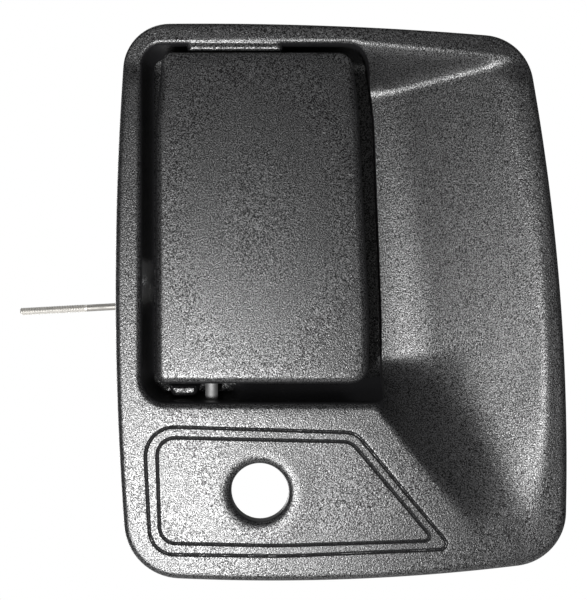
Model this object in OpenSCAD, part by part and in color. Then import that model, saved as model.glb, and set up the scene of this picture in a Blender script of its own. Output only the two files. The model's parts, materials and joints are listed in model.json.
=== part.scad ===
// Exterior door handle for a truck: a moulded bezel with a lock hole, a sprung pull paddle on a
// vertical hinge pin, and a release lever behind the bezel that pulls a threaded link rod.
// +X points to the right seen from outside, +Z up, and the outside of the door is on the -Y side.
// The origin is where the lock bore's axis meets the door skin, which is the plane y = 0.

/* [Bezel] */
// Distance from the door skin to the bezel's front face
face_height = 11; // [9:0.5:14]
// Thickness of the bezel's front wall
face_wall = 3; // [2:0.5:3.5]
// Thickness of the bezel's side walls and tub walls
wall = 2.5; // [2:0.5:3]
// Radius of the rolled outer edge
edge_radius = 1.8; // [1:0.2:2.4]
// Depth of the paddle's pocket below the front face
pocket_depth = 24; // [22:0.5:26]
// Depth of the finger scoop where it meets the pocket
scoop_depth = 19; // [14:0.5:20]
// Width of the two engraved lines around the lock
groove_width = 1.1; // [0.8:0.1:1.4]
// Depth of the engraved lines
groove_depth = 0.7; // [0.4:0.1:1]

/* [Lock and mounting] */
// Radius of the hole for the lock cylinder
lock_bore_radius = 10.75; // [9.5:0.25:11.5]
// Length of the lock hole, front to back
lock_bore_length = 14; // [12:0.5:18]
// Outer radius of the boss behind the lock hole
lock_boss_radius = 14.5; // [14:0.5:17]
// Radius of the mounting studs
stud_radius = 3; // [2.5:0.5:4]
// Length of a stud behind the door skin
stud_length = 20; // [14:1:26]
// Thickness of the foam gasket
gasket_thickness = 2; // [1:0.5:2.5]
// Width of the foam gasket
gasket_width = 2.8; // [2.5:0.1:3]

/* [Paddle] */
// Height of the paddle's front face above the bezel's face
paddle_proud = 1; // [0:0.5:1.5]
// Depth of the paddle's skirt, front to back
paddle_depth = 8.5; // [8:0.5:9]
// Radius of the paddle's front edges
paddle_edge_radius = 2.6; // [1.5:0.2:3]
// Wall thickness of the paddle cover
paddle_wall = 2.4; // [2:0.2:2.6]
// Radius of the hinge pin
pin_radius = 2.375; // [2:0.125:2.5]

/* [Release lever] */
// Distance from the hinge pin back to the lever's pin
lever_offset = 21; // [20:0.5:22]
// Length of the arm that pulls the link rod
rod_arm = 13; // [11:0.5:15]
// Radius of the nose on the paddle that pushes the lever
nose_radius = 3; // [2.6:0.1:3.2]
// Gap between that nose and the lever's curved pad
nose_gap = 0.35; // [0.3:0.05:0.5]

/* [Link rod] */
// Radius of the link rod
rod_radius = 1.45; // [1.2:0.05:1.6]
// Reach of the rod to the left of the lock
rod_reach = 94; // [80:1:110]
// Slope of the rod down towards its free end, in degrees
rod_slope = 3.1; // [0:0.1:5]

/* [Hidden] */
$fn = 48;

black_plastic = [0.09, 0.09, 0.095];
black_rubber = [0.05, 0.05, 0.05];
zinc_plated = [0.72, 0.73, 0.74];
die_cast = [0.45, 0.46, 0.48];
natural_nylon = [0.82, 0.80, 0.74];
black_nylon = [0.07, 0.07, 0.07];
overlap = 0.01;
margin = 1; // how far cuts run past a surface, and joined solids into each other
edge_steps = 4;

// Planes along Y
face_y = -face_height;
flange_back_y = -gasket_thickness;
pocket_floor_y = face_y + pocket_depth;
tub_back_y = pocket_floor_y + wall;
scoop_floor_y = face_y + scoop_depth;
lock_back_y = face_y + lock_bore_length;
paddle_front_y = face_y - paddle_proud;
paddle_back_y = paddle_front_y + paddle_depth;

// Bezel outline: corner circles [x, z, radius], counter-clockwise from the lower right, and the
// radius of the bowed side that leads on from each corner
bezel_corners = [[93.7, -7.4, 20.2], [82.5, 150.4, 19.4], [-33.4, 156.6, 17.4], [-29.3, -10.9, 21.3]];
bezel_sides = [825, 1310, 1190, 764];

// Rounded outlines: [x, z, radius] at each corner, counter-clockwise
pocket_outline = [[-43.4, 31.5, 9], [45.4, 31.5, 2], [45.4, 64, 200], [42.6, 140, 80],
                  [39.6, 166.2, 8], [-43.4, 166.2, 7.5]];
scoop_opening = [[36, 30.7, 1], [43.9, 30.7, 1], [82, -19, 6], [105.5, -13, 12], [108.2, 20, 100],
                 [106.5, 64, 300], [94, 160.5, 4], [72, 165.2, 40], [36, 166.2, 1]];
scoop_floor = [[38, 48, 1], [53, 50, 4], [53, 149, 6], [38, 150, 1]];
paddle_outline = [[-38.3, 40.6, 4], [40.4, 40.6, 6.5], [40.4, 64, 200], [36.7, 140, 80],
                  [34.2, 163.2, 6], [-35.9, 163.2, 4], [-38.3, 135, 60]];
outer_line = [[-40.5, -23.0, 9.3], [7.5, -23.7, 300], [71.6, -21.0, 2.2], [35.6, 22.2, 8],
              [-42.6, 24.6, 10.8], [-42.3, 11, 30]];
inner_line = [[-37.0, -18.9, 6.3], [7.5, -19.8, 300], [64.8, -17.9, 1.7], [34.0, 18.8, 7],
              [-38.2, 20.4, 6.6], [-38.0, 11, 30]];

// Studs, [x, z]
right_studs = [[97, 118], [97, -10]];
left_stud = [-38, -11];
stud_boss_radius = 6;
lock_mouth_radius = 13.3;
lock_mouth_depth = 2.4;
stud_seat_y = -5;
stud_boss_end_y = -0.5;
stud_head_radius = 4.2;
stud_head_end_y = -0.05;
lock_seal_width = 3;
gasket_inset = 0.6;
rib_x = [-30, 30];
rib_z = [-31, 30];
rib_back_y = -2.5;
rib_thickness = 2;

// Paddle hinge
pin_x = -18.2;
pin_y = 2;
pin_bottom = 25.5;
pin_top = 168.9;
pin_clearance = 0.05;
pin_head_radius = 4;
pin_head_height = 1.5;
clip_groove_radius = 1.8;
clip_thickness = 0.8;
clip_outer_radius = 4.4;
clip_gap = 60;
clip_z = pin_bottom + 1.6;
knuckle_radius = 5;
lower_boss = [31.5, 34];
bezel_lugs = [[119, 124], [134.4, 139.4]];
lower_ear = [41.8, 52];
middle_ear = [124.4, 134];
upper_ear = [152, 162.4];
ear_gap = 0.3;
ear_notch = 3;
bush_clearance = 0.07;
bush_wall = 0.9;
bush_flange = 1;
bush_flange_width = 2.1;
bush_length = 8;

// Carrier plate inside the paddle
carrier_front_y = -7.5;
carrier_back_y = -5;
carrier_plate = [[-34.6, 46.2, 3], [36.6, 46.2, 5], [33.0, 140, 60], [30.6, 159.4, 4],
                 [-32.4, 159.4, 3], [-34.6, 135, 60]];
carrier_screw_places = [[-28, 58], [-26, 148], [28, 60], [24, 140]];
carrier_screw_radius = 1.75;
carrier_screw_head_radius = 3.2;
carrier_screw_head_height = 1.4;
screw_bite = 1;
carrier_rib_z = [66, 88, 112];
carrier_rib = [38, 3, 2];
carrier_rib_x = -8;
cover_boss_radius = 3.4;
stop_places = [[10, 154], [10, 51]];
stop_post_radius = 4.5;
stop_radius = 4;
stop_gap = 0.35;
stop_thickness = 2;

// Nose on the carrier, and the release lever, which turns with the same angle as the paddle
nose = [-14, 8.5];
nose_reach = 3.5;
lever_x = pin_x;
lever_y = pin_y + lever_offset;
lever_level = 77;
lever_thickness = 3;
lever_z = [lever_level, lever_level + lever_thickness];
nose_z = [lever_z[0] - nose_reach, lever_z[1] + nose_reach];
hub_z = [lever_z[0] - 2.5, lever_z[1] + 0.5];
hub_radius = 5;
lever_pin_radius = 2.5;
flange_z = [[lever_z[0] - 6.5, lever_z[0] - 4.5], [lever_z[1] + 4.5, lever_z[1] + 6.5]];
lever_pin_z = [flange_z[0][0] - 2.5, flange_z[1][1] + 1.6];
bush_z = [flange_z[0][1] + 0.3, flange_z[1][0] - 0.4];
rod_hole_radius = 2.4;
rod_eye_radius = 4.2;
lever_pin_head_radius = 4;
lever_clip_z = lever_pin_z[0] + 1.2;
slot_room = 2.5;
pad_radius = lever_offset - nose_radius - nose_gap;
slot_x = [-38.6, -21.4];
slot_z = [nose_z[0] - slot_room, nose_z[1] + slot_room];

// Lever bracket
bracket_base_y = 20;
bracket_sheet = 2;
bracket_x = [-8.5, 19];
bracket_z = [lever_level - 17, lever_level + 20];
bracket_flange_back_y = 30;
bracket_screw_places = [[-2, lever_level - 12], [-2, lever_level + 15], [13, lever_level + 1.5]];
bracket_boss_radius = 4.2;
bracket_screw_radius = 2;
bracket_screw_head_radius = 3.8;
bracket_screw_head_height = 2;
bracket_core_radius = 1.7;
bracket_eye_radius = 6;
screw_clearance = 0.15;

// Link rod
rod_x = lever_x;
rod_y = lever_y + rod_arm;
rod_bend_radius = 4.5;
rod_bend_z = lever_level - 1.8;
rod_top = lever_level + 7;
clip_collar_radius = 3.9;
clip_collar_height = 1.5;
clip_clearance = 0.06;

// ---------------------------------------------------------------- outlines

function direction(v) = v / norm(v);
function flat(p) = [p[0], p[1]];
function ring_next(list, i) = list[(i + 1) % len(list)];
function ring_last(list, i) = list[(i + len(list) - 1) % len(list)];

// Centre of the large circle that touches two corner circles from outside the outline
function side_centre(a, b, radius) =
    let (ra = radius - a[2], rb = radius - b[2], span = norm(flat(b) - flat(a)),
         u = direction(flat(b) - flat(a)), along = (ra * ra - rb * rb + span * span) / (2 * span),
         across = sqrt(ra * ra - along * along))
    flat(a) + u * along + [-u[1], u[0]] * across;

function angle_of(v) = atan2(v[1], v[0]);
function turn_to(a, b) = a + ((b - a) % 360 + 360) % 360;
function arc(centre, radius, a, b, steps) =
    [for (i = [0:steps]) let (t = a + (b - a) * i / steps) centre + radius * [cos(t), sin(t)]];

// Closed outline of corner arcs joined by bowed sides, moved inwards by inset
function bowed_outline(corners, sides, inset = 0) =
    let (n = len(corners),
         centres = [for (i = [0:n - 1]) side_centre(corners[i], ring_next(corners, i), sides[i])])
    [for (i = [0:n - 1])
        let (c = flat(corners[i]), before = angle_of(c - ring_last(centres, i)),
             after = turn_to(before, angle_of(c - centres[i])),
             far = angle_of(flat(ring_next(corners, i)) - centres[i]),
             side = arc(centres[i], sides[i] - inset, after, turn_to(after, far), 6))
        each concat(arc(c, corners[i][2] - inset, before, after, 9), [for (k = [1:5]) side[k]])];

// Closed outline with rounded corners from [x, z, radius] points, moved inwards by inset
function corner_arc(before, p, after, inset, steps) =
    let (u = direction(flat(before) - flat(p)), v = direction(flat(after) - flat(p)),
         half = acos(u * v) / 2, inward = direction(u + v), radius = max(p[2] - inset, 0.2),
         vertex = flat(p) + inward * inset / sin(half), centre = vertex + inward * radius / sin(half),
         a = angle_of(vertex + u * radius / tan(half) - centre),
         b = turn_to(a, angle_of(vertex + v * radius / tan(half) - centre)))
    arc(centre, radius, a, b, b - a < 12 ? 2 : steps);
function rounded_outline(points, inset = 0, steps = 7) =
    [for (i = [0:len(points) - 1])
        each corner_arc(ring_last(points, i), points[i], ring_next(points, i), inset, steps)];

// ---------------------------------------------------------------- building blocks

// A flat outline in X and Z, drawn from one plane along Y to another
module slab(from_y, to_y) {
    translate([0, to_y, 0]) rotate([90, 0, 0]) linear_extrude(to_y - from_y) children();
}

module disc_y(radius, from_y, to_y, place) {
    translate([place[0], to_y, place[1]]) rotate([90, 0, 0]) cylinder(r = radius, h = to_y - from_y);
}

module disc_z(radius, span, x, y) {
    translate([x, y, span[0]]) cylinder(r = radius, h = span[1] - span[0]);
}

// An outline in X and Y, drawn from one height to another
module plate_z(span) {
    translate([0, 0, span[0]]) linear_extrude(span[1] - span[0]) children();
}

// Solid skin over a stack of equal-length outlines, [y, points] from front to back
module lofted(rings) {
    n = len(rings[0][1]);
    points = [for (ring = rings) for (p = ring[1]) [p[0], ring[0], p[1]]];
    walls = [for (k = [0:len(rings) - 2]) for (i = [0:n - 1])
        [k * n + i, k * n + (i + 1) % n, (k + 1) * n + (i + 1) % n, (k + 1) * n + i]];
    front = [for (i = [n - 1:-1:0]) i];
    back = [for (i = [0:n - 1]) (len(rings) - 1) * n + i];
    polyhedron(points, concat([front, back], walls));
}

// Round wire along a list of points, for springs
module wire(route, radius, sides = 8) {
    n = len(route);
    ahead = [for (i = [0:n - 1]) direction(route[min(i + 1, n - 1)] - route[max(i - 1, 0)])];
    points = [for (i = [0:n - 1])
        let (up = abs(ahead[i][2]) > 0.9 ? [1, 0, 0] : [0, 0, 1],
             side = direction(cross(ahead[i], up)), top = cross(side, ahead[i]))
        for (k = [0:sides - 1])
            route[i] + radius * (cos(360 * k / sides) * side + sin(360 * k / sides) * top)];
    walls = [for (i = [0:n - 2]) for (k = [0:sides - 1])
        [i * sides + k, i * sides + (k + 1) % sides,
         (i + 1) * sides + (k + 1) % sides, (i + 1) * sides + k]];
    start = [for (k = [sides - 1:-1:0]) k];
    finish = [for (k = [0:sides - 1]) (n - 1) * sides + k];
    polyhedron(points, concat([start, finish], walls));
}

// Turns of a coil about a vertical axis, from one angle and height to another
function coil_route(centre, radius, from_angle, to_angle, from_z, to_z, steps) =
    [for (i = [0:steps]) let (t = i / steps, a = from_angle + (to_angle - from_angle) * t)
        [centre[0] + radius * cos(a), centre[1] + radius * sin(a), from_z + (to_z - from_z) * t]];

// Retaining clip that snaps into a pin's groove
module snap_clip(inner, outer, x, y, z) {
    translate([x, y, z]) rotate([0, 0, clip_gap / 2]) rotate_extrude(angle = 360 - clip_gap)
        translate([inner, 0]) square([outer - inner, clip_thickness]);
}

module screw_y(place, shank_radius, head_radius, head_height, tip_y, seat_y) {
    disc_y(shank_radius, tip_y, seat_y + overlap, place);
    difference() {
        disc_y(head_radius, seat_y, seat_y + head_height, place);
        translate([place[0], seat_y + head_height + overlap, place[1]]) rotate([90, 0, 0])
            cylinder(r = head_radius * 0.5, h = head_height * 0.6, $fn = 6);
    }
}

// ---------------------------------------------------------------- bezel and seals

module bezel_skin() {
    rings = concat(
        [for (a = [90:-90 / edge_steps:0])
            [face_y + edge_radius * (1 - sin(a)),
             bowed_outline(bezel_corners, bezel_sides, edge_radius * (1 - cos(a)))]],
        [[flange_back_y, bowed_outline(bezel_corners, bezel_sides)]]);
    difference() {
        lofted(rings);
        slab(face_y + face_wall, 0) polygon(bowed_outline(bezel_corners, bezel_sides, wall));
    }
}

module scoop_hull(grow, from_y, floor_y) {
    hull() {
        slab(from_y, from_y + 0.1) polygon(rounded_outline(scoop_opening, -grow, 4));
        slab(floor_y - 0.1, floor_y) polygon(rounded_outline(scoop_floor, -grow, 4));
    }
}

module bezel() {
    color(black_plastic) difference() {
        union() {
            bezel_skin();
            difference() {
                union() {
                    slab(face_y + margin, tub_back_y) polygon(rounded_outline(pocket_outline, -wall));
                    scoop_hull(wall, face_y + margin, scoop_floor_y + wall);
                }
                slab(face_y, pocket_floor_y) polygon(rounded_outline(pocket_outline));
            }
            for (lug = bezel_lugs) {
                disc_z(knuckle_radius, lug, pin_x, pin_y);
                translate([pin_x - knuckle_radius, pin_y, lug[0]])
                    cube([2 * knuckle_radius, pocket_floor_y - pin_y + margin, lug[1] - lug[0]]);
            }
            disc_z(knuckle_radius, [lower_boss[0] - margin, lower_boss[1]], pin_x, pin_y);
            disc_y(lock_boss_radius, face_y + margin, lock_back_y, [0, 0]);
            for (place = concat(right_studs, [left_stud]))
                disc_y(stud_boss_radius, face_y + margin, stud_boss_end_y, place);
            for (place = stop_places)
                disc_y(stop_post_radius, carrier_back_y + stop_gap + stop_thickness,
                       pocket_floor_y + margin, place);
            for (place = bracket_screw_places)
                disc_y(bracket_boss_radius, tub_back_y - margin, bracket_base_y, place);
            for (x = rib_x)
                translate([x - rib_thickness / 2, face_y + margin, rib_z[0]])
                    cube([rib_thickness, rib_back_y - face_y - margin, rib_z[1] - rib_z[0]]);
        }
        bezel_cuts();
    }
}

// What is cut from the bezel after its walls and bosses are joined
module bezel_cuts() {
    cut_y = face_y - margin;
    slab(cut_y, face_y + face_wall + margin) polygon(rounded_outline(pocket_outline));
    scoop_hull(0, face_y - overlap, scoop_floor_y);
    translate([0, cut_y, 0]) rotate([-90, 0, 0]) rotate_extrude()
        polygon([[0, 0], [lock_mouth_radius + margin, 0],
                 [lock_bore_radius, lock_mouth_depth + margin],
                 [lock_bore_radius, lock_bore_length + 2 * margin],
                 [0, lock_bore_length + 2 * margin]]);
    for (line = [outer_line, inner_line])
        difference() {
            slab(cut_y, face_y + groove_depth) polygon(rounded_outline(line, -groove_width / 2));
            slab(cut_y - margin, face_y + groove_depth + margin)
                polygon(rounded_outline(line, groove_width / 2));
        }
    disc_z(pin_radius + pin_clearance, [pin_bottom, pin_top], pin_x, pin_y);
    translate([slot_x[0], pocket_floor_y - margin, slot_z[0]])
        cube([slot_x[1] - slot_x[0], wall + 2 * margin, slot_z[1] - slot_z[0]]);
    for (place = concat(right_studs, [left_stud]))
        disc_y(stud_head_radius, stud_seat_y, margin, place);
    for (place = bracket_screw_places)
        disc_y(bracket_core_radius, tub_back_y + screw_bite, bracket_base_y + margin, place);
}

module gasket() {
    color(black_rubber) slab(flange_back_y, 0) difference() {
        polygon(bowed_outline(bezel_corners, bezel_sides, gasket_inset));
        polygon(bowed_outline(bezel_corners, bezel_sides, gasket_inset + gasket_width));
    }
}

module lock_seal() {
    color(black_rubber) rotate([90, 0, 0]) rotate_extrude()
        translate([lock_boss_radius, 0]) square([lock_seal_width, gasket_thickness]);
}

module mounting_studs() {
    color(zinc_plated) for (place = concat(right_studs, [left_stud])) {
        disc_y(stud_head_radius, stud_seat_y, stud_head_end_y, place);
        disc_y(stud_radius, stud_head_end_y - overlap, stud_length, place);
    }
}

module bump_stops() {
    front_y = carrier_back_y + stop_gap;
    color(black_rubber) for (place = stop_places)
        disc_y(stop_radius, front_y, front_y + stop_thickness, place);
}

// ---------------------------------------------------------------- hinge

module hinge_pin() {
    color(zinc_plated) difference() {
        union() {
            disc_z(pin_radius, [pin_bottom, pin_top], pin_x, pin_y);
            disc_z(pin_head_radius, [pin_top, pin_top + pin_head_height], pin_x, pin_y);
        }
        translate([pin_x, pin_y, clip_z]) rotate_extrude()
            translate([clip_groove_radius, 0]) square([pin_radius, clip_thickness]);
    }
}

module hinge_pin_clip() {
    color(zinc_plated)
        snap_clip(clip_groove_radius, clip_outer_radius, pin_x, pin_y, clip_z);
}

module hinge_bushes() {
    inner = pin_radius + bush_clearance;
    module bush(from_z, flange_at_top) {
        flange_z = flange_at_top ? bush_length - bush_flange : 0;
        translate([pin_x, pin_y, from_z]) rotate_extrude() union() {
            translate([inner, 0]) square([bush_wall, bush_length]);
            translate([inner, flange_z]) square([bush_flange_width, bush_flange]);
        }
    }
    color(black_nylon) {
        bush(lower_ear[0] - bush_flange, false);
        bush(upper_ear[1] - bush_length + bush_flange, true);
    }
}

// ---------------------------------------------------------------- paddle

module paddle_cover() {
    rings = concat(
        [for (a = [90:-90 / edge_steps:0])
            [paddle_front_y + paddle_edge_radius * (1 - sin(a)),
             rounded_outline(paddle_outline, paddle_edge_radius * (1 - cos(a)))]],
        [[paddle_back_y, rounded_outline(paddle_outline)]]);
    inside_y = paddle_front_y + paddle_wall;
    color(black_plastic) difference() {
        union() {
            difference() {
                lofted(rings);
                slab(inside_y, paddle_back_y + margin)
                    polygon(rounded_outline(paddle_outline, paddle_wall));
            }
            for (place = carrier_screw_places)
                disc_y(cover_boss_radius, inside_y - margin / 2, carrier_front_y, place);
        }
        for (place = carrier_screw_places)
            disc_y(carrier_screw_radius, inside_y - screw_bite, carrier_front_y + margin, place);
        for (ear = [lower_ear, upper_ear])
            translate([pin_x - knuckle_radius - ear_gap, carrier_back_y - ear_gap,
                       ear[0] - ear_notch])
                cube([2 * (knuckle_radius + ear_gap), paddle_back_y - carrier_back_y + ear_notch,
                      ear[1] - ear[0] + 2 * ear_notch]);
    }
}

// Ear that joins the carrier plate to the hinge pin
module carrier_ear(span, bore) {
    difference() {
        union() {
            disc_z(knuckle_radius, span, pin_x, pin_y);
            translate([pin_x - knuckle_radius, carrier_back_y - overlap, span[0]])
                cube([2 * knuckle_radius, pin_y - carrier_back_y, span[1] - span[0]]);
        }
        disc_z(bore, [span[0] - margin, span[1] + margin], pin_x, pin_y);
    }
}

module paddle_carrier() {
    bush_bore = pin_radius + bush_clearance + bush_wall;
    centre = [pin_x, pin_y] + nose;
    color(die_cast) difference() {
        union() {
            slab(carrier_front_y, carrier_back_y) polygon(rounded_outline(carrier_plate));
            carrier_ear(lower_ear, bush_bore);
            carrier_ear(middle_ear, pin_radius + bush_clearance);
            carrier_ear(upper_ear, bush_bore);
            disc_z(nose_radius, nose_z, centre[0], centre[1]);
            plate_z(nose_z) polygon([[centre[0] - nose_radius, centre[1]],
                                     [centre[0] - nose_radius, carrier_back_y - overlap],
                                     [centre[0] + 2 * nose_radius, carrier_back_y - overlap],
                                     [centre[0] + nose_radius, centre[1]]]);
            for (z = carrier_rib_z)
                translate([carrier_rib_x, carrier_back_y - overlap, z]) cube(carrier_rib);
        }
        for (place = carrier_screw_places)
            disc_y(carrier_screw_radius + screw_clearance, carrier_front_y - margin,
                   carrier_back_y + margin, place);
    }
}

module carrier_screws() {
    color(zinc_plated) for (place = carrier_screw_places)
        screw_y(place, carrier_screw_radius, carrier_screw_head_radius, carrier_screw_head_height,
                paddle_front_y + paddle_wall - screw_bite, carrier_back_y);
}

module paddle_spring() {
    radius = 0.8;
    coil_radius = 4.4;
    centre = [pin_x, pin_y];
    from_z = 88;
    to_z = 99;
    coil = coil_route(centre, coil_radius, 90, 90 - 360 * 6 - 180, from_z, to_z, 104);
    floor_leg = [[pin_x - 14, pocket_floor_y - radius - 0.3, from_z],
                 [pin_x - 11, pocket_floor_y - radius - 0.8, from_z],
                 [pin_x - 3, pin_y + coil_radius + 0.4, from_z]];
    plate_leg = [[pin_x - 4, pin_y - coil_radius - 0.2, to_z],
                 [pin_x - 9, carrier_back_y + radius + 0.1, to_z],
                 [pin_x - 13, carrier_back_y + radius + 0.05, to_z]];
    color(zinc_plated) wire(concat(floor_leg, coil, plate_leg), radius);
}

// ---------------------------------------------------------------- release lever

module lever_bracket() {
    color(zinc_plated) difference() {
        union() {
            translate([bracket_x[0], bracket_base_y, bracket_z[0]])
                cube([bracket_x[1] - bracket_x[0], bracket_sheet, bracket_z[1] - bracket_z[0]]);
            for (span = flange_z) {
                plate_z(span) polygon([[bracket_x[0], bracket_base_y], [bracket_x[1], bracket_base_y],
                                       [bracket_x[1] - 6, bracket_base_y + 5],
                                       [lever_x + 3, bracket_flange_back_y],
                                       [lever_x, bracket_flange_back_y],
                                       [lever_x, lever_y - bracket_eye_radius],
                                       [bracket_x[0], lever_y - bracket_eye_radius]]);
                disc_z(bracket_eye_radius, span, lever_x, lever_y);
            }
        }
        disc_z(lever_pin_radius, lever_pin_z, lever_x, lever_y);
        for (place = bracket_screw_places)
            disc_y(bracket_screw_radius + screw_clearance, bracket_base_y - margin,
                   bracket_base_y + bracket_sheet + margin, place);
    }
}

module bracket_screws() {
    color(zinc_plated) for (place = bracket_screw_places)
        screw_y(place, bracket_core_radius, bracket_screw_head_radius, bracket_screw_head_height,
                tub_back_y + screw_bite, bracket_base_y + bracket_sheet);
}

// Flat lever with a curved pad that follows the paddle's nose, a hub, and an arm to the rod
module release_lever() {
    pad_centre = [lever_x, lever_y] + nose;
    pad_start = -106;
    pad_end = -42;
    pad = arc(pad_centre, pad_radius, pad_start, pad_end, 14);
    color(zinc_plated) difference() {
        union() {
            plate_z(lever_z) polygon(concat(pad, [[lever_x - 2, lever_y - hub_radius + 0.5],
                                                  [lever_x, lever_y + 4.6],
                                                  [pad_centre[0] + 4, lever_y + 3],
                                                  [pad_centre[0] - 7, lever_y - 2]]));
            plate_z(lever_z) polygon([[lever_x - hub_radius, lever_y], [lever_x - 3.5, rod_y],
                                      [lever_x + 3.5, rod_y], [lever_x + hub_radius, lever_y]]);
            disc_z(hub_radius, hub_z, lever_x, lever_y);
            disc_z(rod_eye_radius, lever_z, rod_x, rod_y);
        }
        disc_z(lever_pin_radius + bush_clearance + bush_wall,
               [hub_z[0] - margin, hub_z[1] + margin], lever_x, lever_y);
        disc_z(rod_hole_radius, [lever_z[0] - margin, lever_z[1] + margin], rod_x, rod_y);
    }
}

module lever_bush() {
    inner = lever_pin_radius + bush_clearance;
    color(natural_nylon) translate([lever_x, lever_y, 0]) rotate_extrude() union() {
        translate([inner, bush_z[0]]) square([bush_wall, bush_z[1] - bush_z[0]]);
        translate([inner, bush_z[0]]) square([bush_flange_width, hub_z[0] - bush_z[0]]);
    }
}

module lever_pin() {
    color(zinc_plated) difference() {
        union() {
            disc_z(lever_pin_radius, lever_pin_z, lever_x, lever_y);
            disc_z(lever_pin_head_radius, [flange_z[1][1], lever_pin_z[1]], lever_x, lever_y);
        }
        translate([lever_x, lever_y, lever_clip_z]) rotate_extrude()
            translate([clip_groove_radius, 0]) square([lever_pin_radius, clip_thickness]);
    }
}

module lever_pin_clip() {
    color(zinc_plated)
        snap_clip(clip_groove_radius, clip_outer_radius, lever_x, lever_y, lever_clip_z);
}

module lever_spring() {
    radius = 0.5;
    coil_radius = 4.3;
    from_z = hub_z[1] + 0.7;
    to_z = from_z + 2.5;
    coil = coil_route([lever_x, lever_y], coil_radius, 90, 90 - 360 * 2 - 120, from_z, to_z, 44);
    lever_leg = [[lever_x - 13, lever_y + 0.5, from_z - 0.1], [lever_x - 8, lever_y + 3, from_z],
                 [lever_x - 3, lever_y + coil_radius + 0.2, from_z]];
    bracket_leg = [[lever_x + 7, lever_y + 2.6, to_z], [lever_x + 13, lever_y - 0.3, to_z]];
    color(zinc_plated) wire(concat(lever_leg, coil, bracket_leg), radius);
}

// ---------------------------------------------------------------- link rod

module rod_clip() {
    inner = rod_radius + clip_clearance;
    collar_width = clip_collar_radius - inner;
    color(natural_nylon) translate([rod_x, rod_y, 0]) rotate_extrude() union() {
        translate([inner, lever_z[0] - clip_collar_height])
            square([rod_hole_radius - inner, lever_thickness + 2 * clip_collar_height]);
        for (z = [lever_z[0] - clip_collar_height, lever_z[1]])
            translate([inner, z]) square([collar_width, clip_collar_height]);
    }
}

module link_rod() {
    bend_turn = 90 - rod_slope;
    centre = [rod_x - rod_bend_radius, rod_bend_z];
    end = centre + rod_bend_radius * [cos(-bend_turn), sin(-bend_turn)];
    length = (end[0] + rod_reach) / cos(rod_slope);
    tip_radius = 0.5;
    swell = 0.04;
    color(zinc_plated) {
        disc_z(rod_radius, [rod_bend_z - swell, rod_top], rod_x, rod_y);
        translate([centre[0], rod_y, centre[1]]) rotate([90, 0, 0]) rotate([0, 0, -bend_turn - 1])
            rotate_extrude(angle = bend_turn + 2) translate([rod_bend_radius, 0])
                circle(rod_radius + swell);
        translate([end[0], rod_y, end[1]]) rotate([0, -90 - rod_slope, 0]) rotate_extrude()
            polygon([[0, 0], [rod_radius, 0], [rod_radius, length - tip_radius],
                     [rod_radius - tip_radius, length], [0, length]]);
    }
}

bezel();
gasket();
lock_seal();
mounting_studs();
hinge_pin();
hinge_pin_clip();
hinge_bushes();
paddle_cover();
paddle_carrier();
carrier_screws();
paddle_spring();
bump_stops();
lever_bracket();
bracket_screws();
release_lever();
lever_bush();
lever_pin();
lever_pin_clip();
lever_spring();
rod_clip();
link_rod();
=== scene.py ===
"""Looks of a truck's exterior door handle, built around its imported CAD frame.

Sizes are in millimetres in the handle's own frame: +X right, +Z up, -Y towards the outside of the
door. The origin is where the lock bore's axis meets the door skin.
"""

import json
import math

import bmesh
import bpy
import numpy as np
from mathutils.geometry import delaunay_2d_cdt
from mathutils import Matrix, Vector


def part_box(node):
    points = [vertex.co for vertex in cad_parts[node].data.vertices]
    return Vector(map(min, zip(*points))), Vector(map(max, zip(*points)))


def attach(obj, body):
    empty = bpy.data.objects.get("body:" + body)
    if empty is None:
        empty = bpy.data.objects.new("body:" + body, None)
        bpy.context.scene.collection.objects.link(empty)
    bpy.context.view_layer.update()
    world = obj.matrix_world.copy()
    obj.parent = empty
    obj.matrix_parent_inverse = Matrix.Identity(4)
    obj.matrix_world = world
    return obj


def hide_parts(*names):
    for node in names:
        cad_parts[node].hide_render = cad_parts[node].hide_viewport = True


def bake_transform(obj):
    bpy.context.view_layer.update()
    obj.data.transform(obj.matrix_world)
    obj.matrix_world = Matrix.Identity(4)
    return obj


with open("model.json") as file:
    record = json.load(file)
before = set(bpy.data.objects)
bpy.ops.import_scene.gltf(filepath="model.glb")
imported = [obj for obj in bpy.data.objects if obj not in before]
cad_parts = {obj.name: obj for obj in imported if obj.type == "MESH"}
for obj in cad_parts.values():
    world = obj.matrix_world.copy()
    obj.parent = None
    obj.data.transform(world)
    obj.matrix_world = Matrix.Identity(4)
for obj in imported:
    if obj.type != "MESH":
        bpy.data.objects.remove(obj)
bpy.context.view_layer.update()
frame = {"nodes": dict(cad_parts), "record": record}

MM = 0.001

# ------------------------------------------------------------------ sizes, close to the CAD part's


def box_mm(node):
    """Lowest and highest corners of a CAD node, in millimetres."""
    low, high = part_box(node)
    return np.array(low) / MM, np.array(high) / MM


FACE_Y = box_mm("bezel")[0][1]
FLANGE_BACK_Y = box_mm("gasket")[0][1]
PADDLE_FRONT_Y, PADDLE_BACK_Y = (corner[1] for corner in box_mm("paddle_cover"))
LOCK_RADIUS = 10.75
LOCK_DEPTH = 14.0
LOCK_BOSS_RADIUS = 14.5
WALL = 2.5
FACE_WALL = 3.0
POCKET_DEPTH = 24.0
SCOOP_DEPTH = 18.4
GROOVE_WIDTH = 1.5
GROOVE_DEPTH = 0.8
HINGE = (-18.2, 2.0)
KNUCKLE_RADIUS = 5.0

# Corner circles [x, z, radius] from the lower right, counter-clockwise, and the sides' radii
BEZEL_CORNERS = [(93.7, -7.4, 20.2), (82.5, 150.4, 19.4), (-33.4, 156.6, 17.4),
                 (-29.3, -10.9, 21.3)]
BEZEL_SIDES = [825, 1310, 1190, 764]

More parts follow.
